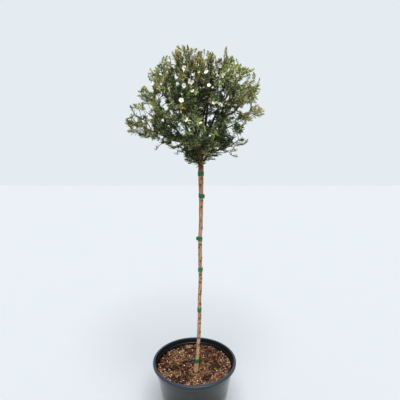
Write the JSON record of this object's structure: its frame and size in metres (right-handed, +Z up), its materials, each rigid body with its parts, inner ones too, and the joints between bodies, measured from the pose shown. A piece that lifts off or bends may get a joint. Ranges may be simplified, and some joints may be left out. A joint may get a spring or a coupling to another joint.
{
  "type": "standard topiary shrub in a nursery pot",
  "caption": "Small-leaved flowering shrub grown as a lollipop standard: one clear tied stem with a round open head, in a round nursery pot of potting mix.",
  "frame": {"origin": "middle of the pot's flat underside, where it stands", "axes": "+Z up along the stem, +X to the right and -Y to the front of the plant as it is seen from its front"},
  "size_m": [0.3421, 0.3409, 0.983],
  "materials": {
    "pot": "satin",
    "soil": "rough",
    "bark": "matte",
    "tape": "satin",
    "foliage": "matte"
  },
  "bodies": {
    "root": {"bough_high_1": "bark", "bough_high_2": "bark", "bough_high_3": "bark", "bough_high_4": "bark", "bough_high_5": "bark", "bough_low_1": "bark", "bough_low_2": "bark", "bough_low_3": "bark", "bough_low_4": "bark", "bough_low_5": "bark", "bough_mid_1": "bark", "bough_mid_2": "bark", "bough_mid_3": "bark", "bough_mid_4": "bark", "bough_mid_5": "bark", "bough_mid_6": "bark", "bough_spray_1": "bark", "bough_spray_2": "bark", "bough_spray_3": "bark", "bough_spray_4": "bark", "bough_spray_5": "bark", "bough_spray_6": "bark", "leader_1": "bark", "leader_2": "bark", "leader_3": "bark", "mass_crest_1": "foliage", "mass_crest_2": "foliage", "mass_crest_3": "foliage", "mass_high_1": "foliage", "mass_high_2": "foliage", "mass_high_3": "foliage", "mass_high_4": "foliage", "mass_high_5": "foliage", "mass_low_1": "foliage", "mass_low_2": "foliage", "mass_low_3": "foliage", "mass_low_4": "foliage", "mass_low_5": "foliage", "mass_mid_1": "foliage", "mass_mid_2": "foliage", "mass_mid_3": "foliage", "mass_mid_4": "foliage", "mass_mid_5": "foliage", "mass_mid_6": "foliage", "mass_skirt": "foliage", "mass_spray_1": "foliage", "mass_spray_2": "foliage", "mass_spray_3": "foliage", "mass_spray_4": "foliage", "mass_spray_5": "foliage", "mass_spray_6": "foliage", "pot": "pot", "soil": "soil", "tie_1": "tape", "tie_2": "tape", "tie_3": "tape", "tie_4": "tape", "tie_5": "tape", "tie_6": "tape", "trunk": "bark"}
  },
  "joints": []
}
